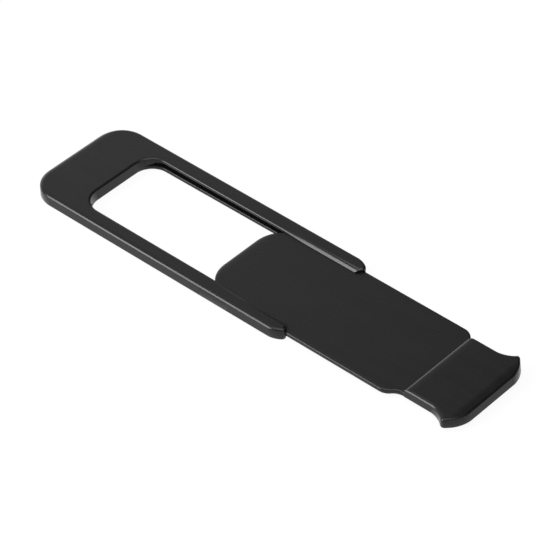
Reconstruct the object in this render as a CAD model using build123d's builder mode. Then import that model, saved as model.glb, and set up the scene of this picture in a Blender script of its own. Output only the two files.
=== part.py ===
from build123d import *
from math import asin, cos, degrees, radians, sin
import os

# A sliding webcam cover, in millimetres, drawn with its shutter pulled open against the stop.
# +X runs from the frame's closed end to the pull tab and +Z points away from the screen.
# The origin is the centre of the open lens window, on the face that sticks to the screen.

# Frame: a closed end, and two legs with a groove in their inner faces
end_length = 5.8            # solid closed end, from its outer face to the window
leg_length = 27.0           # from the window's closed end to the legs' tips
leg_width = 1.65
window_width = 9.7          # clear width between the legs
frame_corner_radius = 3.0
window_corner_radius = 2.1
nose_side_radius = 2.0      # each leg ends in a nose: its outer side curves in and turns round the tip,
nose_side_angle = 42.0
nose_tip_radius = 0.4
nose_slant = 34.5           # and from there its end slants back to the window's side
nose_inner_radius = 0.3
lower_lip = 0.34            # wall under the groove
upper_lip = 0.32            # wall over the groove
groove_depth = 0.87         # how far the groove goes into each leg
top_edge_radius = 0.28
lip_edge_radius = 0.08      # lead-in on the lower lip, so that the plate can't catch on it
bottom_edge_radius = 0.06

# Shutter: a plate that runs in the groove
plate_thickness = 0.48
plate_corner_radius = 3.4
plate_edge_radius = 0.13
engagement = 10.7           # length of plate still held between the legs when the shutter is open
ear_length = 2.0            # the ears that catch on the stop
ear_reach = 0.2
ear_setback = 0.15          # from the plate's rounded corner to the ear
shoulder_angle = 50.0       # the two arcs of each shoulder, from the plate's width to the neck's
near_setback = 0.15         # from the shoulder on the -Y side to the step
far_setback = -0.7          # the shoulder on the +Y side ends beside the tab, past the step

# Pull tab: a straight neck that flares to a round-cornered end
tab_rise = 0.51             # height of the step from the plate to the tab
neck_length = 3.05          # nests between the legs when the shutter is closed
near_step_radius = 0.15     # the step's corner on the -Y side, and on the +Y side
far_step_radius = 0.45
flare_radius = 2.4
flare_angle = 45.0
flare_tip_radius = 0.42
tab_corner_slope = 45.0     # the straight part of each corner at the tab's end
tab_corner_run = 0.44
tab_corner_radius = 2.9
tab_edge_radius = 0.22
droop_length = 1.2          # the tab's top curves down towards its end
droop = 0.07

# Tape under the frame
tape_thickness = 0.12
tape_inset = 0.25

# Fits
slide_clearance = 0.03      # above and below the plate in the groove
side_clearance = 0.05       # beside the plate, its ears and the stop
nest_clearance = 0.1        # beside the neck, between the legs
end_clearance = 0.1         # at the closed end, when shut
flare_gap = 0.3             # from the legs' tips to the tab's flare, when shut
edge_share = 0.9            # the most of a wall that a rounded edge may take up
tolerance = 0.001           # for choosing edges by their place

# Sizes that follow from those above
frame_width = window_width + 2 * leg_width
groove_height = plate_thickness + 2 * slide_clearance
frame_height = lower_lip + groove_height + upper_lip
opening = leg_length - engagement
travel = opening - end_clearance
plate_length = leg_length + flare_gap - end_clearance - neck_length
plate_width = window_width + 2 * (groove_depth - side_clearance)
neck_width = window_width - 2 * nest_clearance
shoulder_radius = (plate_width - neck_width) / 4 / (1 - cos(radians(shoulder_angle)))
shoulder_length = 2 * shoulder_radius * sin(radians(shoulder_angle))
nose_tip_share = 1 - sin(radians(nose_side_angle))
nose_length = nose_side_radius * (1 - nose_tip_share) + nose_tip_radius * nose_tip_share
droop_radius = (droop_length**2 + droop**2) / (2 * droop)
top_rounding = min(top_edge_radius, edge_share * upper_lip)
lip_rounding = min(lip_edge_radius, edge_share * (lower_lip - bottom_edge_radius))

# Places along X
window_x = -opening / 2
frame_x = window_x - end_length
tips_x = window_x + leg_length
nose_x = tips_x - nose_length
past_tips_x = tips_x + leg_width
plate_x = opening / 2
step_x = plate_x + plate_length
ear_x = plate_x + plate_corner_radius + ear_setback
stop_x = ear_x + ear_length + side_clearance

# Heights
frame_z = tape_thickness
wall_z = frame_z + bottom_edge_radius
groove_z = frame_z + lower_lip
upper_lip_z = groove_z + groove_height
plate_z = groove_z + slide_clearance
plate_top_z = plate_z + plate_thickness
tab_top_z = plate_top_z + tab_rise


def block(x_start, x_end, width):
    """A rectangle between two places along X, centred on the X axis."""
    with Locations(((x_start + x_end) / 2, 0)):
        Rectangle(x_end - x_start, width)


def round_left_corners(sketch, radius):
    """Rounds the two corners of a sketch that face the frame's closed end."""
    fillet(sketch.vertices().group_by(Axis.X)[0], radius)


def u_outline(inset=0.0):
    """The closed end and the legs from above, up to their noses, drawn smaller at the sides by an inset."""
    with BuildSketch(mode=Mode.PRIVATE) as outside:
        block(frame_x + inset, nose_x, frame_width - 2 * inset)
        round_left_corners(outside, frame_corner_radius - inset)
    with BuildSketch(mode=Mode.PRIVATE) as window:
        block(window_x - inset, past_tips_x, window_width + 2 * inset)
        round_left_corners(window, window_corner_radius + inset)
    add(outside.sketch)
    add(window.sketch, mode=Mode.SUBTRACT)


def leg_nose():
    """The nose of the leg on the +Y side, from above."""
    with BuildSketch(mode=Mode.PRIVATE) as nose:
        with BuildLine():
            side = JernArc((nose_x, frame_width / 2), (1, 0), nose_side_radius, -nose_side_angle)
            tip = JernArc(side @ 1, side % 1, nose_tip_radius, nose_side_angle - nose_slant - 90)
            corner_y = window_width / 2 + nose_inner_radius * (1 - sin(radians(nose_slant)))
            slant_length = ((tip @ 1).Y - corner_y) / cos(radians(nose_slant))
            end = Line(tip @ 1, tip @ 1 + (tip % 1) * slant_length)
            corner = JernArc(end @ 1, end % 1, nose_inner_radius, nose_slant - 90)
            inner = Line(corner @ 1, (nose_x, window_width / 2))
            Line(inner @ 1, side @ 0)
        make_face()
    return nose.sketch


def frame_outline():
    """The whole frame from above."""
    u_outline()
    add(leg_nose())
    mirror(leg_nose(), about=Plane.XZ)


def groove_outline():
    """The groove from above: wide enough for the ears up to the stop, and narrower from there to the tips."""
    narrow_width = plate_width + 2 * side_clearance
    with BuildSketch(mode=Mode.PRIVATE) as wide:
        block(window_x, stop_x, narrow_width + 2 * ear_reach)
        round_left_corners(wide, plate_corner_radius)
    with BuildSketch(mode=Mode.PRIVATE) as groove:
        add(wide.sketch)
        block(stop_x, past_tips_x, narrow_width)
    return groove.sketch


def plate_half(setback):
    """The plate from above on the +Y side, up to the tab's flare, its shoulder set back from the step."""
    with BuildSketch(mode=Mode.PRIVATE) as half:
        with BuildLine():
            end = Line((plate_x, 0), (plate_x, plate_width / 2 - plate_corner_radius))
            corner = JernArc(end @ 1, end % 1, plate_corner_radius, -90)
            side = Line(corner @ 1, (step_x - setback - shoulder_length, plate_width / 2))
            convex = JernArc(side @ 1, side % 1, shoulder_radius, -shoulder_angle)
            concave = JernArc(convex @ 1, convex % 1, shoulder_radius, shoulder_angle)
            neck = Line(concave @ 1, (step_x + neck_length, neck_width / 2))
            across = Line(neck @ 1, (step_x + neck_length, 0))
            Line(across @ 1, end @ 0)
        make_face()
    return half.sketch


def tab_half(step_radius):
    """The tab from above on the +Y side, with the corner of its step rounded by a radius."""
    with BuildSketch(mode=Mode.PRIVATE) as half:
        with BuildLine():
            step = Line((step_x, 0), (step_x, neck_width / 2 - step_radius))
            corner = JernArc(step @ 1, step % 1, step_radius, -90)
            neck = Line(corner @ 1, (step_x + neck_length, neck_width / 2))
            flare = JernArc(neck @ 1, neck % 1, flare_radius, flare_angle)
            tip = JernArc(flare @ 1, flare % 1, flare_tip_radius, -flare_angle - tab_corner_slope)
            bevel = Line(tip @ 1, tip @ 1 + (tip % 1) * tab_corner_run)
            end_corner = JernArc(bevel @ 1, bevel % 1, tab_corner_radius, tab_corner_slope - 90)
            across = Line(end_corner @ 1, ((end_corner @ 1).X, 0))
            Line(across @ 1, step @ 0)
        make_face()
    return half.sketch


# The tape
with BuildPart() as adhesive_tape:
    with BuildSketch():
        u_outline(tape_inset)
    extrude(amount=tape_thickness)

# The frame: a lower slab, a wall round the groove and an upper slab
with BuildPart() as lower_slab:
    with BuildSketch(Plane.XY.offset(frame_z)):
        frame_outline()
    extrude(amount=lower_lip)
    fillet(lower_slab.faces().sort_by(Axis.Z)[-1].edges(), lip_rounding)
    fillet(lower_slab.faces().sort_by(Axis.Z)[0].edges(), bottom_edge_radius)

with BuildPart() as frame:
    with BuildSketch(Plane.XY.offset(upper_lip_z)):
        frame_outline()
    extrude(amount=upper_lip)
    fillet(frame.faces().sort_by(Axis.Z)[-1].edges(), top_rounding)
    with BuildSketch(Plane.XY.offset(wall_z)):
        frame_outline()
        add(groove_outline(), mode=Mode.SUBTRACT)
    extrude(amount=upper_lip_z - wall_z)
    add(lower_slab.part)

# The shutter: the plate and its ears, and then the tab
with BuildPart() as shutter:
    with BuildSketch(Plane.XY.offset(plate_z)):
        add(plate_half(far_setback))
        mirror(plate_half(near_setback), about=Plane.XZ)
    extrude(amount=plate_thickness)
    fillet(shutter.faces().sort_by(Axis.Z)[-1].edges(), plate_edge_radius)

    with BuildSketch(Plane.XY.offset(plate_z)):
        block(ear_x, ear_x + ear_length, plate_width + 2 * ear_reach)
    extrude(amount=plate_thickness)

    with BuildSketch(Plane.XY.offset(plate_z)) as tab:
        add(tab_half(far_step_radius))
        mirror(tab_half(near_step_radius), about=Plane.XZ)
    extrude(amount=plate_thickness + tab_rise)

    tab_end_x = tab.sketch.bounding_box().max.X
    droop_x = tab_end_x - droop_length
    droop_angle = degrees(asin((droop_length + 2 * tab_edge_radius) / droop_radius))
    with BuildSketch(Plane.XZ):
        with BuildLine():
            curve = JernArc((droop_x, tab_top_z), (1, 0), droop_radius, -droop_angle)
            above = Line(curve @ 1, ((curve @ 1).X, tab_top_z + droop))
            back = Line(above @ 1, (droop_x, tab_top_z + droop))
            Line(back @ 1, curve @ 0)
        make_face()
    extrude(amount=plate_width, both=True, mode=Mode.SUBTRACT)

    # the tab's rim is rounded, but not the line where its flat top starts to curve down
    tab_top = shutter.faces().filter_by_position(Axis.Z, tab_top_z - tab_rise / 3, tab_top_z + tolerance)
    rim = ShapeList(edge for edge in tab_top.edges() if abs((edge @ 0.5).X - droop_x) > tolerance)
    fillet(rim, tab_edge_radius)
    fillet(shutter.faces().sort_by(Axis.Z)[0].edges(), bottom_edge_radius)

os.makedirs("parts", exist_ok=True)
for name, piece in (("adhesive_tape", adhesive_tape), ("frame", frame), ("shutter", shutter)):
    piece.part.label = name
    export_step(piece.part, f"parts/{name}.step")
    print(f"{name}: {piece.part.volume:.2f} cubic millimetres")
print(f"frame {frame_width:.2f} wide and {frame_height:.2f} thick, travel {travel:.2f}")
print(f"plate {plate_length:.2f} by {plate_width:.2f}, tab end at {tab_end_x:.2f}")
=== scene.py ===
# %% [markdown]
# # A sliding webcam cover in black ABS
#
# The cover is a thin U-shaped frame that sticks to a screen round its camera, and a flat shutter that
# slides along the frame's legs by a raised pull tab. The CAD model gives the sizes and the motion. This
# lesson models the two mouldings again as clean meshes with finely rounded edges, because on a small
# black object the edges are nearly all that the eye sees: they catch the light while the flat faces stay
# dark.

# %% Load the CAD frame
from math import cos, radians, sin, sqrt, tan

import bmesh
import bpy
from mathutils import Matrix, Quaternion, Vector


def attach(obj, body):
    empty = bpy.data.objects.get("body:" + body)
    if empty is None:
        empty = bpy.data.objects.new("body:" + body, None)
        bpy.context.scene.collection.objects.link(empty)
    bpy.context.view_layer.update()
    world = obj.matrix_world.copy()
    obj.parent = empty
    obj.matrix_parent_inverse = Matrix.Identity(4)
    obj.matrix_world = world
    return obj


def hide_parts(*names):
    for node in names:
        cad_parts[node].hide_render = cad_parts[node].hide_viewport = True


MM = 0.001
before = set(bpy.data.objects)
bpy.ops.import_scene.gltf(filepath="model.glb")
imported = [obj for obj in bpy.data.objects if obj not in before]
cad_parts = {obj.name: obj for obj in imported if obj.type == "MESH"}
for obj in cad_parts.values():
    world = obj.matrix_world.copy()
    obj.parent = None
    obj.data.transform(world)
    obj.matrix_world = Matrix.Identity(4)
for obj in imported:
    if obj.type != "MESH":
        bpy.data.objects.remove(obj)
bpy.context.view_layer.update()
bpy.ops.object.select_all(action="DESELECT")
print("CAD nodes:", sorted(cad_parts))

# %% [markdown]
# ## Sizes
#
# All sizes are in millimetres and follow the CAD model. +X runs from the frame's closed end to the pull
# tab, +Z points away from the screen, and the origin is the middle of the open lens window on the sticky
# face. Only a few sizes are chosen. The others follow from them, so that the shutter always fits its
# groove.

# %% Sizes of the frame
end_length = 5.8
leg_length = 27.0
leg_width = 1.65
window_width = 9.7
frame_corner_radius = 3.0
window_corner_radius = 2.1
nose_side_radius = 2.0
nose_side_angle = radians(42)
nose_tip_radius = 0.4
nose_slant = radians(34.5)
nose_inner_radius = 0.3
lower_lip = 0.34
upper_lip = 0.32
groove_depth = 0.87
frame_rim_width = 0.5
frame_rim_drop = 0.27
unlit_rim_share = 0.56          # how much of that width the rim has where it turns away from the light
window_draft = 0.1
soft_start = 8.5                # the legs' inner edges begin to soften at this X
lip_edge_radius = 0.05
bottom_edge_radius = 0.06
tape_thickness = 0.12
plate_thickness = 0.48
slide_clearance = 0.03
side_clearance = 0.05
engagement = 10.7               # how far the open shutter reaches in between the legs

frame_width = window_width + 2 * leg_width
groove_height = plate_thickness + 2 * slide_clearance
frame_height = lower_lip + groove_height + upper_lip
opening = leg_length - engagement
window_x = -opening / 2
frame_x = window_x - end_length
tips_x = window_x + leg_length
nose_tip_share = 1 - sin(nose_side_angle)
nose_x = tips_x - nose_side_radius * (1 - nose_tip_share) - nose_tip_radius * nose_tip_share
frame_z = tape_thickness
groove_z = frame_z + lower_lip
upper_lip_z = groove_z + groove_height
frame_top_z = frame_z + frame_height
print(f"frame {tips_x - frame_x:.2f} x {frame_width:.2f} x {frame_height:.2f} mm")
print(f"window {opening:.2f} x {window_width:.2f} mm when the shutter is open")

# %% Sizes of the shutter
plate_corner_radius = 3.4
plate_rim_width = 0.4
plate_rim_drop = 0.11
ear_length = 2.0
ear_reach = 0.2
ear_setback = 0.15
shoulder_angle = radians(50)
near_setback = 0.15             # how far before the step each shoulder ends; the far one ends past it
far_setback = -0.7
tab_rise = 0.51
neck_length = 3.05
nest_clearance = 0.1            # when shut: between the neck and the legs
end_clearance = 0.1             # when shut: between the plate and the closed end's wall
flare_gap = 0.3                 # when shut: between the tab's flare and the legs' tips
far_step_radius = 0.45
flare_radius = 2.4
flare_angle = radians(45)
flare_tip_radius = 0.42
tab_corner_slope = radians(45)
tab_corner_run = 0.44
tab_corner_radius = 2.9
tab_rim_width = 0.4
tab_rim_drop = 0.25
droop_length = 1.2
droop = 0.07
tab_lean = 0.25
end_fall_length = 0.9
end_fall = 0.04

plate_x = opening / 2
plate_width = window_width + 2 * (groove_depth - side_clearance)
plate_length = leg_length + flare_gap - end_clearance - neck_length
neck_width = window_width - 2 * nest_clearance
step_x = plate_x + plate_length
ear_x = plate_x + plate_corner_radius + ear_setback
stop_x = ear_x + ear_length + side_clearance
plate_z = groove_z + slide_clearance
plate_top_z = plate_z + plate_thickness
tab_top_z = plate_top_z + tab_rise
print(f"plate {plate_length:.2f} x {plate_width:.2f} mm, neck {neck_width:.2f} mm wide")

# %% [markdown]
# ## Tools for modelling by hand
#
# Both mouldings start as a flat outline, as on paper. The outline's corners are rounded, it is extruded
# to a slab, and then the slab's edges are rounded. These are the same steps as with the mouse in edit
# mode. Since no mouse picks the corners here, a short test on their places picks them.
#
# The pieces are modelled with one Blender unit for a millimetre, and scaled down at the end. Blender's
# own tolerances, such as the distance at which points count as one, are then far smaller than the
# smallest edge.

# %% Modelling helpers
NEAR = 0.0005       # lengths that differ by less are the same
FLAT = 0.5          # a face is flat, and not a wall, if its normal points up or down by more than this


def near(value, *targets):
    """True if a length is the same as one of the targets."""
    return any(abs(value - target) < NEAR for target in targets)


def start_outline(name, x_start, x_end, width, z):
    """Adds a flat rectangle as a new piece, and leaves it in edit mode."""
    bpy.ops.object.select_all(action="DESELECT")
    bpy.ops.mesh.primitive_plane_add(size=1.0)
    piece = bpy.context.object
    piece.name = name
    piece.data.name = name
    bpy.ops.object.mode_set(mode="EDIT")
    bpy.ops.transform.resize(value=(x_end - x_start, width, 1))
    bpy.ops.transform.translate(value=((x_start + x_end) / 2, 0, z))
    return piece


def edited_mesh():
    """The mesh that is open in edit mode."""
    return bmesh.from_edit_mesh(bpy.context.object.data)


def pick(kind, test):
    """Selects the vertices, edges or faces whose points pass a test, and nothing else."""
    mesh = edited_mesh()
    bpy.ops.mesh.select_mode(type=kind)
    bpy.ops.mesh.select_all(action="DESELECT")
    for element in {"VERT": mesh.verts, "EDGE": mesh.edges, "FACE": mesh.faces}[kind]:
        points = [element.co] if kind == "VERT" else [v.co for v in element.verts]
        if test(points):
            element.select_set(True)
    mesh.select_flush_mode()
    bmesh.update_edit_mesh(bpy.context.object.data)


def pick_rim(z):
    """Selects the edges at a height where a flat face meets a wall."""
    mesh = edited_mesh()
    mesh.normal_update()
    bpy.ops.mesh.select_mode(type="EDGE")
    bpy.ops.mesh.select_all(action="DESELECT")
    for edge in mesh.edges:
        is_flat = {abs(face.normal.z) > FLAT for face in edge.link_faces}
        if len(is_flat) == 2 and all(near(v.co.z, z) for v in edge.verts):
            edge.select_set(True)
    bmesh.update_edit_mesh(bpy.context.object.data)


def cut_across(x):
    """Cuts the selected faces along a plane across X."""
    bpy.ops.mesh.bisect(plane_co=(x, 0, 0), plane_no=(1, 0, 0), threshold=NEAR)


def cut_along(y):
    """Cuts the selected faces along a plane across Y."""
    bpy.ops.mesh.bisect(plane_co=(0, y, 0), plane_no=(0, 1, 0), threshold=NEAR)


def round_corners(run, segments, test):
    """Rounds the outline's corners that pass a test, each cut back along its edges by the run."""
    pick("VERT", lambda points: test(points[0]))
    bpy.ops.mesh.bevel(offset=run, segments=segments, affect="VERTICES", clamp_overlap=False)


def stretch_height(factor):
    """Stretches the whole piece in height and leaves the selection as it is."""
    for point in edited_mesh().verts:
        point.co.z *= factor
    bmesh.update_edit_mesh(bpy.context.object.data)


def round_picked_edges(radius, segments):
    """Rounds the selected edges to a quarter circle."""
    bpy.ops.mesh.bevel(offset=radius, segments=segments, affect="EDGES", clamp_overlap=False)


def round_bottom(z):
    """Rounds a slab's bottom edge a little."""
    pick_rim(z)
    round_picked_edges(bottom_edge_radius, segments=2)


def round_rim(piece, z, width, drop, segments):
    """Rounds a slab's top edge to a quarter ellipse, broadly where it faces -X or -Y and less elsewhere.

    The piece is stretched in height until the ellipse is a circle, and set back afterwards.
    """
    pick_rim(z)
    mesh = edited_mesh()
    weight = mesh.edges.layers.float.new("bevel_weight_edge")
    for edge in mesh.edges:
        if edge.select:
            wall = min(edge.link_faces, key=lambda face: abs(face.normal.z)).normal
            outward = wall.y * edge.verts[0].co.y > -NEAR
            lit = min(1.0, max(0.0, -wall.x - wall.y)) if outward else 0.0
            edge[weight] = unlit_rim_share + (1 - unlit_rim_share) * lit
    stretch_height(width / drop)
    bpy.ops.object.mode_set(mode="OBJECT")
    rim = piece.modifiers.new("rim", "BEVEL")
    rim.limit_method = "WEIGHT"
    rim.width = width
    rim.segments = segments
    rim.use_clamp_overlap = False
    bpy.ops.object.modifier_apply(modifier="rim")
    bpy.ops.object.mode_set(mode="EDIT")
    stretch_height(drop / width)


def ease(share):
    """Turns an even share from 0 to 1 into one that starts and ends gently."""
    return share * share * (3 - 2 * share)


def let_down_end(start_x, length, drop, rim_width, foot_z):
    """Lets the top above a height fall away towards one end: the end at -X where the length is negative."""
    strips = 5
    flat_length = length - rim_width if length > 0 else length + rim_width
    for i in range(strips):
        pick("FACE", lambda points: all(p.z > foot_z - NEAR for p in points))
        cut_across(start_x + i * flat_length / strips)
    for point in edited_mesh().verts:
        share = (point.co.x - start_x) / length
        if share > 0 and point.co.z > foot_z - NEAR:
            point.co.z -= drop * share**2
    bmesh.update_edit_mesh(bpy.context.object.data)


def select_all():
    """Selects the whole mesh."""
    bpy.ops.mesh.select_all(action="SELECT")


def join_points():
    """Joins points that lie in the same place."""
    select_all()
    bpy.ops.mesh.remove_doubles(threshold=4 * NEAR)


def extrude_up(height):
    """Extrudes the selected faces upwards."""
    bpy.ops.mesh.extrude_region_move(TRANSFORM_OT_translate={"value": (0, 0, height)})


def make_slab(height):
    """Turns the flat outline into a closed slab."""
    select_all()
    extrude_up(height)
    select_all()
    bpy.ops.mesh.normals_make_consistent(inside=False)


def combine(piece, operation, tool):
    """Joins a tool to a piece or takes it away, with a Boolean modifier, and deletes the tool."""
    bpy.ops.object.select_all(action="DESELECT")
    piece.select_set(True)
    bpy.context.view_layer.objects.active = piece
    change = piece.modifiers.new(tool.name, "BOOLEAN")
    change.operation = operation
    change.object = tool
    bpy.ops.object.modifier_apply(modifier=change.name)
    bpy.data.objects.remove(tool)


# %% [markdown]
# ## The frame
#
# The real frame is one injection moulding: a closed end, and two legs with slanting, rounded noses and a
# groove in their inner faces for the shutter. One could draw half of it and mirror it, but the outline is
# simple enough to draw whole. The closed end is a rectangle. The two short ends of its edge at the window
# are extruded into the legs, and then every corner is rounded in the plan before the slab gets its height.

# %% The frame's outline
side_run = nose_side_radius * tan(nose_side_angle / 2)
tip_run = nose_tip_radius * tan((radians(90) + nose_slant - nose_side_angle) / 2)
inner_run = nose_inner_radius * tan((radians(90) - nose_slant) / 2)
side_corner_x = nose_x + side_run
tip_corner_x = side_corner_x + (side_run + tip_run) * cos(nose_side_angle)
tip_drop = (side_run + tip_run) * sin(nose_side_angle)
inner_corner_x = tip_corner_x - (leg_width - tip_drop) * tan(nose_slant)

frame_piece = start_outline("frame_moulding", frame_x, window_x, frame_width, frame_z)
for leg_side in (1, -1):
    select_all()
    cut_along(leg_side * window_width / 2)
pick("EDGE", lambda points: (
    all(near(p.x, window_x) for p in points) and abs(points[0].y + points[1].y) > window_width
))
bpy.ops.mesh.extrude_edges_move(TRANSFORM_OT_translate={"value": (side_corner_x - window_x, 0, 0)})
bpy.ops.mesh.extrude_edges_move(TRANSFORM_OT_translate={"value": (tip_corner_x - side_corner_x, 0, 0)})
select_all()
bpy.ops.mesh.dissolve_faces()
pick("VERT", lambda points: near(points[0].x, frame_x) and abs(points[0].y) < frame_width / 2 - NEAR)
bpy.ops.mesh.dissolve_verts()
pick("VERT", lambda points: near(points[0].x, side_corner_x) and abs(points[0].y) < window_width / 2 + NEAR)
bpy.ops.mesh.dissolve_verts()

# a nose's end slants: its corner at the window goes back, and the one outside goes in
pick("VERT", lambda points: near(points[0].x, tip_corner_x) and abs(points[0].y) < window_width / 2 + NEAR)
bpy.ops.transform.translate(value=(inner_corner_x - tip_corner_x, 0, 0))
pick("VERT", lambda points: near(points[0].x, tip_corner_x))
tip_y = frame_width / 2 - tip_drop
bpy.ops.transform.resize(value=(1, 2 * tip_y / frame_width, 1), center_override=(tip_corner_x, 0, 0))

round_corners(frame_corner_radius, 24, lambda p: near(p.x, frame_x))
round_corners(window_corner_radius, 20, lambda p: near(p.x, window_x) and near(abs(p.y), window_width / 2))
round_corners(side_run, 12, lambda p: near(p.x, side_corner_x))
round_corners(tip_run, 10, lambda p: near(p.x, tip_corner_x))
round_corners(inner_run, 6, lambda p: near(p.x, inner_corner_x))
join_points()
print("outline points:", len(edited_mesh().verts))

# %% [markdown]
# The top edge is rounded more broadly where it faces the closed end or the near side than elsewhere. One
# Bevel modifier can do both: each edge gets a weight, and its rounding is that share of the modifier's
# width. Round the corners the weight changes step by step from the one to the other. The window's walls
# have a draft, as a mould needs it to let the part go: at the bottom, the window is a little smaller.

# %% The frame's slab and its rounded edges
make_slab(frame_height)
round_rim(frame_piece, frame_top_z, frame_rim_width, frame_rim_drop, segments=8)
round_bottom(frame_z)
rim_foot_z = frame_top_z - frame_rim_drop
let_down_end(frame_x + end_fall_length, -end_fall_length, end_fall, frame_rim_width, rim_foot_z)

bottom_edge = 2 * bottom_edge_radius
for point in edited_mesh().verts:
    between_legs = abs(point.co.y) < window_width / 2 + bottom_edge
    along_window = window_x - bottom_edge < point.co.x < nose_x
    if between_legs and along_window and point.co.z < frame_z + bottom_edge_radius + NEAR:
        fade = min(1.0, (nose_x - point.co.x) / (nose_x - soft_start))
        point.co.y *= 1 - fade * 2 * window_draft / window_width
        point.co.x += window_draft * max(0.0, 1 - (point.co.x - window_x) / window_corner_radius)
bmesh.update_edit_mesh(bpy.context.object.data)
print("slab faces:", len(edited_mesh().faces))

# %% [markdown]
# Over the shutter, the legs' inner edges are softer than elsewhere: the top falls away in one arc towards
# the shutter, and so the far leg shows a broad soft highlight there. A bevel has the same form all along.
# Here it changes, so the legs get a few cuts across, and the points of the rim are let down on to the
# arc, more and more from the start of the shutter.

# %% Soften the legs' inner edges over the shutter
soft_full = 12.5
soft_cuts = 8
soft_reach = 0.55
soft_drop = 0.3
soft_rows = 5
soft_radius = (soft_reach**2 + soft_drop**2) / (2 * soft_drop)
soft_y = window_width / 2 + soft_reach

for i in range(soft_cuts + 1):
    select_all()
    cut_across(soft_start + i * (soft_full - soft_start) / soft_cuts)
for leg_side in (1, -1):
    for i in range(soft_rows):
        pick("FACE", lambda points: all(near(p.z, frame_top_z) and p.x > soft_start - NEAR for p in points))
        cut_along(leg_side * (soft_y - i * (soft_reach - unlit_rim_share * frame_rim_width) / soft_rows))
for point in edited_mesh().verts:
    inward = min(soft_y - abs(point.co.y), soft_reach)
    if inward > 0 and point.co.z > upper_lip_z and point.co.x > soft_start:
        share = ease(min(1.0, (point.co.x - soft_start) / (soft_full - soft_start)))
        arc_z = frame_top_z - soft_radius + sqrt(soft_radius**2 - inward**2)
        point.co.z += share * (min(point.co.z, arc_z) - point.co.z)
bmesh.update_edit_mesh(bpy.context.object.data)
bpy.ops.object.mode_set(mode="OBJECT")
print(f"soft edge radius: {soft_radius:.2f} mm")

# %% [markdown]
# The groove is cut as a toolmaker would think of it: a plate the shape of the groove is taken away from
# the slab with a Boolean modifier. It starts in the window's corners, so that the closed end's wall stays
# plain. It is wider up to the stop, where the shutter's ears run, and narrower beyond it.

# %% Cut the groove
groove_half = plate_width / 2 + side_clearance
ear_half = groove_half + ear_reach
groove_x = window_x + window_draft
cutter = start_outline("groove_cutter", groove_x, stop_x, 2 * ear_half, groove_z)
for leg_side in (1, -1):
    select_all()
    cut_along(leg_side * groove_half)
pick("EDGE", lambda points: (
    all(near(p.x, stop_x) for p in points) and abs(points[0].y + points[1].y) < window_width
))
bpy.ops.mesh.extrude_edges_move(TRANSFORM_OT_translate={"value": (tips_x + leg_width - stop_x, 0, 0)})
select_all()
bpy.ops.mesh.dissolve_faces()
pick("VERT", lambda points: near(points[0].x, groove_x) and abs(points[0].y) < ear_half - NEAR)
bpy.ops.mesh.dissolve_verts()
round_corners(plate_corner_radius, 16, lambda p: near(p.x, groove_x))
make_slab(groove_height)
bpy.ops.object.mode_set(mode="OBJECT")
combine(frame_piece, "DIFFERENCE", cutter)

# the lower lip's inner edge is rounded along the legs, so that the shutter can't catch on it
lip_edge_x = window_x + window_corner_radius / 2
bpy.ops.object.mode_set(mode="EDIT")
pick("EDGE", lambda points: all(
    near(p.z, groove_z) and abs(p.y) < groove_half - NEAR and p.x > lip_edge_x for p in points
))
round_picked_edges(lip_edge_radius, segments=3)
join_points()
pick("FACE", lambda points: all(near(p.z, frame_top_z) and p.x < soft_start + NEAR for p in points))
bpy.ops.mesh.dissolve_faces()
bpy.ops.object.mode_set(mode="OBJECT")
print("frame faces:", len(frame_piece.data.polygons))

# %% [markdown]
# ## The shutter
#
# The shutter is one moulding too: a plate that runs in the grooves, and a raised tab to pull it by. The
# two are modelled as blocks of their own, so that each gets its own rounded rim, and then a Boolean union
# makes them one. Seen from above, the plate narrows over two S-shaped shoulders to the neck that carries
# the tab. Its outline is made of straight lines first, by extruding the end edge and scaling it to each
# new width, and rounding the corners makes the arcs. How far a corner is cut back for an arc of a given
# radius is the radius times the tangent of half the angle by which the outline turns there.

# %% The plate's outline
root_inset = 0.02               # keeps the plate's root inside the tab, so that no two walls share a plane
shoulder_radius = (plate_width - neck_width) / 4 / (1 - cos(shoulder_angle))
shoulder_length = 2 * shoulder_radius * sin(shoulder_angle)
shoulder_run = shoulder_radius * tan(shoulder_angle / 2)
shoulder_start_x = step_x - near_setback - shoulder_length + shoulder_run
shoulder_end_x = shoulder_start_x + 2 * shoulder_run * cos(shoulder_angle)
root_x = step_x + neck_length / 2
root_width = neck_width - 2 * root_inset


def extend_outline(last_x, last_width, stations):
    """Carries an outline's end edge on to new places along X, each with its own width, as one flat face."""
    for x, width in stations:
        pick("EDGE", lambda points: all(near(p.x, last_x) for p in points))
        bpy.ops.mesh.extrude_edges_move(TRANSFORM_OT_translate={"value": (x - last_x, 0, 0)})
        bpy.ops.transform.resize(value=(1, width / last_width, 1), center_override=(x, 0, 0))
        last_x, last_width = x, width
    select_all()
    bpy.ops.mesh.dissolve_faces()


shutter_piece = start_outline("shutter_moulding", plate_x, shoulder_start_x, plate_width, plate_z)
extend_outline(shoulder_start_x, plate_width, [(shoulder_end_x, root_width), (root_x, root_width)])

# the shoulder on the +Y side stands nearer to the tab
far_shift = near_setback - far_setback
pick("VERT", lambda points: near(points[0].x, shoulder_start_x, shoulder_end_x) and points[0].y > 0)
bpy.ops.transform.translate(value=(far_shift, 0, 0))
shoulder_corners = [x + shift for x in (shoulder_start_x, shoulder_end_x) for shift in (0, far_shift)]
round_corners(plate_corner_radius, 28, lambda p: near(p.x, plate_x))
# a hair is left between the two arcs of a shoulder, because they would meet in one point
round_corners(shoulder_run - NEAR, 10, lambda p: near(p.x, *shoulder_corners))
join_points()
print("plate outline points:", len(edited_mesh().verts))

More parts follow.
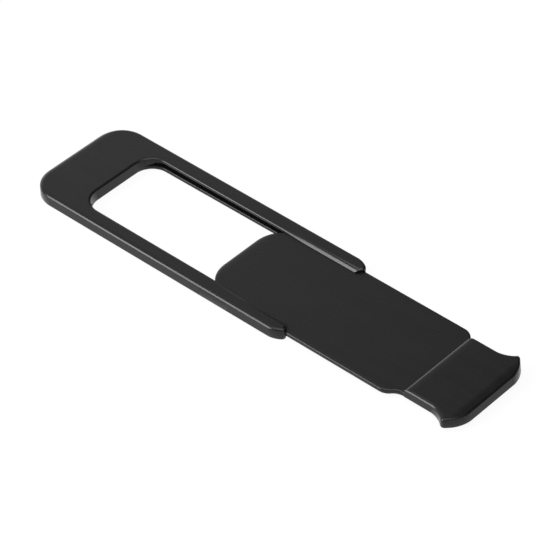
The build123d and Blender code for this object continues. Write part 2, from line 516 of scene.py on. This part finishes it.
# %% The plate's slab, rim and ears
make_slab(plate_thickness)
round_rim(shutter_piece, plate_top_z, plate_rim_width, plate_rim_drop, segments=6)
round_bottom(plate_z)
rim_foot_z = plate_top_z - plate_rim_drop
let_down_end(plate_x + end_fall_length, -end_fall_length, end_fall, plate_rim_width, rim_foot_z)
ear_end_x = ear_x + ear_length
for ear_side in (1, -1):
    side_y = ear_side * plate_width / 2
    for x in (ear_x, ear_end_x):
        pick("FACE", lambda points: all(near(p.y, side_y) for p in points))
        cut_across(x)
    pick("FACE", lambda points: all(
        near(p.y, side_y) and ear_x - NEAR < p.x < ear_end_x + NEAR for p in points
    ))
    bpy.ops.mesh.extrude_region_move(TRANSFORM_OT_translate={"value": (0, ear_side * ear_reach, 0)})
bpy.ops.object.mode_set(mode="OBJECT")
print("plate faces:", len(shutter_piece.data.polygons))

# %% [markdown]
# The tab starts with a straight neck and flares out to two tips, and from there its corners run round to
# the straight end. It is as high as the plate and the step together.

# %% The tab's outline
flare_run = flare_radius * tan(flare_angle / 2)
flare_x = step_x + neck_length + flare_run
flare_tip_run = flare_tip_radius * tan((flare_angle + tab_corner_slope) / 2)
tip_x = flare_x + (flare_run + flare_tip_run) * cos(flare_angle)
tip_width = neck_width + 2 * (flare_run + flare_tip_run) * sin(flare_angle)
end_run = tab_corner_radius * tan((radians(90) - tab_corner_slope) / 2)
end_slant = flare_tip_run + tab_corner_run + end_run
tab_end_x = tip_x + end_slant * cos(tab_corner_slope)
end_width = tip_width - 2 * end_slant * sin(tab_corner_slope)

tab_piece = start_outline("tab", step_x, flare_x, neck_width, plate_z)
extend_outline(flare_x, neck_width, [(tip_x, tip_width), (tab_end_x, end_width)])
round_corners(far_step_radius, 10, lambda p: near(p.x, step_x) and p.y > 0)
round_corners(flare_run, 14, lambda p: near(p.x, flare_x))
round_corners(flare_tip_run, 12, lambda p: near(p.x, tip_x))
round_corners(end_run, 16, lambda p: near(p.x, tab_end_x))
print(f"tab end at {tab_end_x:.2f} mm, {len(edited_mesh().verts)} outline points")

# %% [markdown]
# The tab's top curves down a little towards its end, where a finger rests, and its end wall leans back.
# Both are made after the rim is rounded: strips are cut across the top, and then each point is moved by a
# small formula, so that the rounded rim goes with its face.

# %% The tab's rim, curved top and leaning end
make_slab(plate_thickness + tab_rise)
round_rim(tab_piece, tab_top_z, tab_rim_width, tab_rim_drop, segments=8)
round_bottom(plate_z)

rim_foot_z = tab_top_z - tab_rim_drop
let_down_end(tab_end_x - droop_length, droop_length, droop, tab_rim_width, rim_foot_z)
let_down_end(step_x + end_fall_length, -end_fall_length, end_fall, tab_rim_width, rim_foot_z - droop)
lean_x = tip_x - flare_tip_radius
for point in edited_mesh().verts:
    if point.co.x > lean_x:
        share = ease((point.co.x - lean_x) / (tab_end_x - lean_x))
        point.co.x -= tab_lean * share * (point.co.z - plate_z) / (tab_top_z - plate_z)
bmesh.update_edit_mesh(bpy.context.object.data)
join_points()
bpy.ops.object.mode_set(mode="OBJECT")
print("tab faces:", len(tab_piece.data.polygons))

# %% Join the tab to the plate
combine(shutter_piece, "UNION", tab_piece)
print("shutter faces:", len(shutter_piece.data.polygons))

# %% [markdown]
# ## Smooth shading
#
# A rounded edge of six or eight strips looks smooth when the shading blends from strip to strip, but the
# flat faces beside it must stay flat. The Weighted Normal modifier does that: a large face keeps its own
# direction, and the narrow strips do the bending. Each piece then takes the place of its CAD node and
# rides on that node's body.

# %% Finish the mouldings
crease_angle = radians(35)


def finish_moulding(piece, node, body):
    """Scales a piece to its real size, shades it and puts it in its CAD node's place."""
    bpy.ops.object.select_all(action="DESELECT")
    piece.select_set(True)
    bpy.context.view_layer.objects.active = piece
    bpy.ops.object.mode_set(mode="EDIT")
    select_all()
    bpy.ops.mesh.normals_make_consistent(inside=False)
    bpy.ops.transform.resize(value=(MM, MM, MM), center_override=(0, 0, 0))
    loose = sum(1 for edge in edited_mesh().edges if len(edge.link_faces) != 2)
    bpy.ops.object.mode_set(mode="OBJECT")
    bpy.ops.object.shade_smooth_by_angle(angle=crease_angle)
    normals = piece.modifiers.new("even shading", "WEIGHTED_NORMAL")
    normals.keep_sharp = True
    bpy.ops.object.modifier_apply(modifier="even shading")
    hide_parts(node)
    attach(piece, body)
    print(f"{piece.name}: {len(piece.data.polygons)} faces, {loose} open edges")


finish_moulding(frame_piece, "frame", "base")
finish_moulding(shutter_piece, "shutter", "slider")

# %% [markdown]
# ## Materials
#
# A material is a small graph of nodes. A few helpers are enough: one turns a colour as a painter writes it
# (sRGB hex) into the linear numbers that the renderer uses, one adds a node with its settings and links,
# one starts an empty material, and one puts a material on a piece.

# %% Colour and node helpers


def linear(hex_colour):
    """An sRGB hex colour as linear red, green, blue and alpha."""
    channels = [int(hex_colour[i:i + 2], 16) / 255 for i in (1, 3, 5)]
    return [c / 12.92 if c <= 0.04045 else ((c + 0.055) / 1.055) ** 2.4 for c in channels] + [1.0]


def add_node(tree, kind, settings=None, links=None):
    """Adds a node. Its settings are values of inputs or its own properties, and links feed its inputs."""
    node = tree.nodes.new(kind)
    for name, value in (settings or {}).items():
        if isinstance(name, int) or name in node.inputs:
            node.inputs[name].default_value = value
        else:
            setattr(node, name, value)
    for name, output in (links or {}).items():
        tree.links.new(output, node.inputs[name])
    return node


def new_material(name):
    """An empty node material and its tree."""
    material = bpy.data.materials.new(name)
    material.use_nodes = True
    material.node_tree.nodes.clear()
    return material, material.node_tree


def put_on(piece, material):
    """Makes a material the only one of a piece."""
    piece.data.materials.clear()
    piece.data.materials.append(material)
    print(f"{piece.name}: {material.name}, {len(material.node_tree.nodes)} nodes")


# %% [markdown]
# ### Black ABS
#
# Both mouldings are black ABS from a spark-eroded mould. That leaves a fine even grain, which scatters
# part of the shine: the flat faces look like satin, and only the rounded edges show a clear line of
# light. Three things keep it from looking like plain black paint. The grain is a faint bump. Melt that
# flowed along the cavity left long soft streaks, a little smoother and a little rougher than the rest.
# And the pigment isn't perfectly even.
#
# ABS has an index of refraction of 1.54 and, with such a grain, a roughness of about 0.3. In the photo the
# flat faces shine less than the index alone says, so the specular level is lower than the usual 0.5.

# %% Black ABS, satin grain
grain_size = 0.12 * MM          # really nearer 0.03 mm, which is too fine to see here, so drawn coarser
grain_depth = 0.01 * MM
grain_strength = 0.05
streak_length = 9.0 * MM
streak_width = 1.2 * MM
smoothest = 0.23
roughest = 0.3
cloud_size = 5.0 * MM
abs_index = 1.54
abs_shine = 0.28

abs_black, tree = new_material("black ABS, satin spark-eroded mould grain")
place = add_node(tree, "ShaderNodeTexCoord")
grain = add_node(
    tree, "ShaderNodeTexNoise", {"Scale": 1 / grain_size, "Detail": 2.0},
    {"Vector": place.outputs["Object"]},
)
bump = add_node(
    tree, "ShaderNodeBump", {"Strength": grain_strength, "Distance": grain_depth},
    {"Height": grain.outputs["Fac"]},
)
flow = add_node(
    tree, "ShaderNodeMapping", {"Scale": (1 / streak_length, 1 / streak_width, 1 / streak_width)},
    {"Vector": place.outputs["Object"]},
)
streaks = add_node(
    tree, "ShaderNodeTexNoise", {"Scale": 1.0, "Detail": 3.0}, {"Vector": flow.outputs["Vector"]}
)
satin = add_node(
    tree, "ShaderNodeMapRange", {"From Min": 0.3, "From Max": 0.7, "To Min": smoothest, "To Max": roughest},
    {"Value": streaks.outputs["Fac"]},
)
clouds = add_node(
    tree, "ShaderNodeTexNoise", {"Scale": 1 / cloud_size, "Detail": 2.0},
    {"Vector": place.outputs["Object"]},
)
pigment = add_node(
    tree, "ShaderNodeMix", {"data_type": "RGBA", 6: linear("#0d0d0e"), 7: linear("#121213")},
    {0: clouds.outputs["Fac"]},
)
shader = add_node(
    tree, "ShaderNodeBsdfPrincipled", {"IOR": abs_index, "Specular IOR Level": abs_shine},
    {
        "Base Color": pigment.outputs[2],
        "Roughness": satin.outputs["Result"],
        "Normal": bump.outputs["Normal"],
    },
)
add_node(tree, "ShaderNodeOutputMaterial", links={"Surface": shader.outputs["BSDF"]})
for piece in (frame_piece, shutter_piece):
    put_on(piece, abs_black)

# %% [markdown]
# ### Black acrylic tape
#
# The tape under the frame is a thin foam carrier with acrylic glue on both sides, die-cut to the frame's
# shape. Its face is tacky: soft and slightly glossy, with the pebbled skin that the glue takes on when
# its paper liner is peeled off. The CAD solid is just right for so plain a strip, so only its material is
# made here.

# %% Black acrylic tape, peeled
pebble_size = 0.35 * MM
pebble_depth = 0.03 * MM
pebble_strength = 0.4
tack_size = 1.4 * MM
tackiest = 0.3
driest = 0.5
glue_index = 1.47

tape_black, tree = new_material("black acrylic tape, peeled from its liner")
place = add_node(tree, "ShaderNodeTexCoord")
pebbles = add_node(
    tree, "ShaderNodeTexVoronoi", {"feature": "SMOOTH_F1", "Scale": 1 / pebble_size, "Smoothness": 0.6},
    {"Vector": place.outputs["Object"]},
)
bump = add_node(
    tree, "ShaderNodeBump", {"Strength": pebble_strength, "Distance": pebble_depth},
    {"Height": pebbles.outputs["Distance"]},
)
tack = add_node(
    tree, "ShaderNodeTexNoise", {"Scale": 1 / tack_size, "Detail": 3.0}, {"Vector": place.outputs["Object"]}
)
gloss = add_node(
    tree, "ShaderNodeMapRange", {"From Min": 0.3, "From Max": 0.7, "To Min": tackiest, "To Max": driest},
    {"Value": tack.outputs["Fac"]},
)
glue = add_node(
    tree, "ShaderNodeMix", {"data_type": "RGBA", 6: linear("#171717"), 7: linear("#1f1f1f")},
    {0: tack.outputs["Fac"]},
)
shader = add_node(
    tree, "ShaderNodeBsdfPrincipled", {"IOR": glue_index},
    {"Base Color": glue.outputs[2], "Roughness": gloss.outputs["Result"], "Normal": bump.outputs["Normal"]},
)
add_node(tree, "ShaderNodeOutputMaterial", links={"Surface": shader.outputs["BSDF"]})
put_on(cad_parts["adhesive_tape"], tape_black)

# %% [markdown]
# ## The studio
#
# The photo's ground is pure white. More light would do that too, but it would also wash out the black
# plastic. So the floor glows white towards the camera, and towards rays that were reflected on the way,
# so that the plastic's walls mirror a white floor. A small share of it stays ordinary paper and keeps a
# faint shadow.

# %% White floor
floor_size = 3.0
floor_gap = 0.01 * MM           # just below the tape, so that the two faces don't fight for the same place
glow_share = 0.93

bpy.ops.object.select_all(action="DESELECT")
bpy.ops.mesh.primitive_plane_add(size=floor_size, location=(0, 0, -floor_gap))
floor = bpy.context.object
floor.name = "studio_floor"
floor_white, tree = new_material("white studio paper")
path = add_node(tree, "ShaderNodeLightPath")
seen = add_node(
    tree, "ShaderNodeMath", {"operation": "MAXIMUM"},
    {0: path.outputs["Is Camera Ray"], 1: path.outputs["Is Glossy Ray"]},
)
share = add_node(
    tree, "ShaderNodeMath", {"operation": "MULTIPLY", 1: glow_share}, {0: seen.outputs["Value"]}
)
paper = add_node(tree, "ShaderNodeBsdfDiffuse", {"Color": linear("#f4f4f4")})
glow = add_node(tree, "ShaderNodeEmission", {"Color": linear("#ffffff"), "Strength": 1.0})
mix = add_node(
    tree, "ShaderNodeMixShader",
    links={0: share.outputs["Value"], 1: paper.outputs["BSDF"], 2: glow.outputs["Emission"]},
)
add_node(tree, "ShaderNodeOutputMaterial", links={"Surface": mix.outputs["Shader"]})
put_on(floor, floor_white)

# %% [markdown]
# Black plastic has hardly any colour of its own to show. What the eye sees on it are reflections, so the
# studio's walls matter more than its lamps. The flat tops mirror the wall at the back left, the edges
# turned to the closed end mirror the same wall lower down, where it is brightest, and the edges turned to
# the tab mirror a dark side. The world paints that: one grey wall towards the left that brightens to the
# horizon and fades towards the front, dark on the other side, and a small white card near the camera's
# right.

# %% World: a pale wall and a card
wall_side = (-0.88, -0.47, 0.0)
wall_blend = 0.19               # over how much of its direction the dark side turns into the wall
wall_dark = 0.09
wall_grey = 0.65
horizon_low = 0.05              # the wall is brightest below this height, and plain grey above the next
horizon_high = 0.5
horizon_gain = 3.4
front_y = -0.6                  # the wall has faded to its share at the front, and is full from the next
full_y = 0.2
front_share = 0.2
card_side = (0.62, -0.25, 0.74)
card_edge = 0.82                # the card begins here, by the cosine to its middle, and is full at the next
card_full = 0.98
card_level = 1.3

world = bpy.data.worlds.new("studio")
bpy.context.scene.world = world
world.use_nodes = True
tree = world.node_tree
tree.nodes.clear()
direction = add_node(tree, "ShaderNodeTexCoord")
to_wall = add_node(
    tree, "ShaderNodeVectorMath", {"operation": "DOT_PRODUCT", 1: wall_side},
    {0: direction.outputs["Generated"]},
)
wall = add_node(
    tree, "ShaderNodeMapRange",
    {
        "interpolation_type": "SMOOTHSTEP",
        "From Min": 0.0, "From Max": wall_blend, "To Min": wall_dark, "To Max": wall_grey,
    },
    {"Value": to_wall.outputs["Value"]},
)
axes = add_node(tree, "ShaderNodeSeparateXYZ", links={"Vector": direction.outputs["Generated"]})
horizon = add_node(
    tree, "ShaderNodeMapRange",
    {"From Min": horizon_low, "From Max": horizon_high, "To Min": horizon_gain, "To Max": 1.0},
    {"Value": axes.outputs["Z"]},
)
wall = add_node(
    tree, "ShaderNodeMath", {"operation": "MULTIPLY"},
    {0: wall.outputs["Result"], 1: horizon.outputs["Result"]},
)
wall_end = add_node(
    tree, "ShaderNodeMapRange",
    {
        "interpolation_type": "SMOOTHSTEP",
        "From Min": front_y, "From Max": full_y, "To Min": front_share, "To Max": 1.0,
    },
    {"Value": axes.outputs["Y"]},
)
wall = add_node(
    tree, "ShaderNodeMath", {"operation": "MULTIPLY"},
    {0: wall.outputs["Value"], 1: wall_end.outputs["Result"]},
)
to_card = add_node(
    tree, "ShaderNodeVectorMath", {"operation": "DOT_PRODUCT", 1: card_side},
    {0: direction.outputs["Generated"]},
)
card = add_node(
    tree, "ShaderNodeMapRange",
    {
        "interpolation_type": "SMOOTHSTEP",
        "From Min": card_edge, "From Max": card_full, "To Min": 0.0, "To Max": card_level,
    },
    {"Value": to_card.outputs["Value"]},
)
strength = add_node(
    tree, "ShaderNodeMath", {"operation": "ADD"}, {0: wall.outputs["Value"], 1: card.outputs["Result"]}
)
sky = add_node(
    tree, "ShaderNodeBackground", {"Color": linear("#ffffff")}, {"Strength": strength.outputs["Value"]}
)
add_node(tree, "ShaderNodeOutputWorld", links={"Surface": sky.outputs["Background"]})
print("world nodes:", len(tree.nodes))

# %% [markdown]
# Two lamps are enough. A tall strip softbox stands low at the front left. It is what the long rounded
# edges of the near side show as a bright line, and the far leg's inner edge too. It is narrow and leans a
# little, just as the reflections on those edges run, so that from most other sides the flat tops don't
# mirror it. The ceiling light keeps the floor even and gives the tops some sheen when they are seen from
# above.

# %% Strip softbox and ceiling light


def add_lamp(name, azimuth, elevation, lean, distance, size, power):
    """Adds a rectangular softbox that looks at the origin. The angles are in degrees."""
    toward = Vector((
        cos(radians(azimuth)) * cos(radians(elevation)),
        sin(radians(azimuth)) * cos(radians(elevation)),
        sin(radians(elevation)),
    ))
    bpy.ops.object.light_add(type="AREA", location=toward * distance)
    lamp = bpy.context.object
    lamp.name = name
    lamp.rotation_euler = (toward.to_track_quat("Z", "Y") @ Quaternion((0, 0, 1), radians(lean))).to_euler()
    lamp.data.shape = "RECTANGLE"
    lamp.data.size, lamp.data.size_y = size
    lamp.data.energy = power
    print(f"{name} at {[round(v, 2) for v in lamp.location]} m, {power} W")


add_lamp("strip_softbox", azimuth=-127, elevation=30, lean=20, distance=1.0, size=(0.4, 1.0), power=15.0)
add_lamp("ceiling_light", azimuth=-90, elevation=90, lean=0, distance=0.6, size=(0.4, 0.4), power=1.5)

# %% [markdown]
# ## The camera
#
# The photo looks down at the cover from the tab's near side. Its edges that run in parallel on the real
# object draw together only slightly, which says that the camera was far away with a long lens. The
# angles, the distance and the shifts come from fitting the model's outline to the photo's.

# %% Camera at the photo's angle
view_azimuth = radians(41.445)
view_elevation = radians(41.309)
view_distance = 289.825 * MM
shift_right = 9.884 * MM
shift_down = 5.531 * MM
sensor_width = 36.0
lens_per_width = 3000 / 560     # the lens's focal length as a multiple of the picture's width

back = Vector((
    sin(view_azimuth) * cos(view_elevation),
    -cos(view_azimuth) * cos(view_elevation),
    sin(view_elevation),
))
right = Vector((cos(view_azimuth), sin(view_azimuth), 0))
up = back.cross(right)
camera_data = bpy.data.cameras.new("camera")
camera_data.sensor_width = sensor_width
camera_data.lens = sensor_width * lens_per_width
camera = bpy.data.objects.new("camera", camera_data)
bpy.context.scene.collection.objects.link(camera)
spot = back * view_distance + right * shift_right - up * shift_down
camera.matrix_world = Matrix.Translation(spot) @ Matrix((right, up, back)).transposed().to_4x4()
bpy.context.scene.camera = camera
bpy.context.scene.view_settings.view_transform = "Standard"
print(f"lens {camera_data.lens:.0f} mm, camera {spot.length / MM:.0f} mm away")
